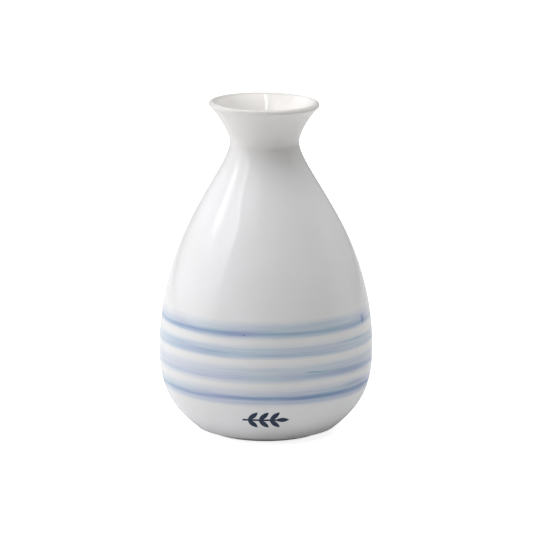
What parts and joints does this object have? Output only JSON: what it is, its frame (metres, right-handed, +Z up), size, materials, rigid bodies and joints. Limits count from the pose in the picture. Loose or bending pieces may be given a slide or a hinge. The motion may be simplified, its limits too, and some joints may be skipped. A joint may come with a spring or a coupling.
{
  "type": "sake bottle",
  "caption": "Pear-shaped porcelain sake bottle with a flared pouring mouth, narrow neck, brushed blue bands under clear glaze and a foot ring, for holding, warming and pouring sake.",
  "frame": {"origin": "centre of the foot ring, on the surface that the bottle stands on", "axes": "+Z up along the bottle's axis, -Y towards the printed front, +X to the right of someone facing the front"},
  "size_m": [0.0774, 0.0774, 0.12],
  "materials": {
    "porcelain": "satin",
    "bare_foot": "matte",
    "clear_glaze": "gloss",
    "cobalt_pigment": "satin",
    "navy_ink": "gloss"
  },
  "bodies": {
    "root": {"porcelain_body": "porcelain", "foot_ring": "bare_foot", "outer_glaze": "clear_glaze", "inner_glaze": "clear_glaze", "base_glaze": "clear_glaze", "brushed_band_1": "cobalt_pigment", "brushed_band_2": "cobalt_pigment", "brushed_band_3": "cobalt_pigment", "brushed_band_4": "cobalt_pigment", "printed_sprig": "navy_ink"}
  },
  "joints": []
}
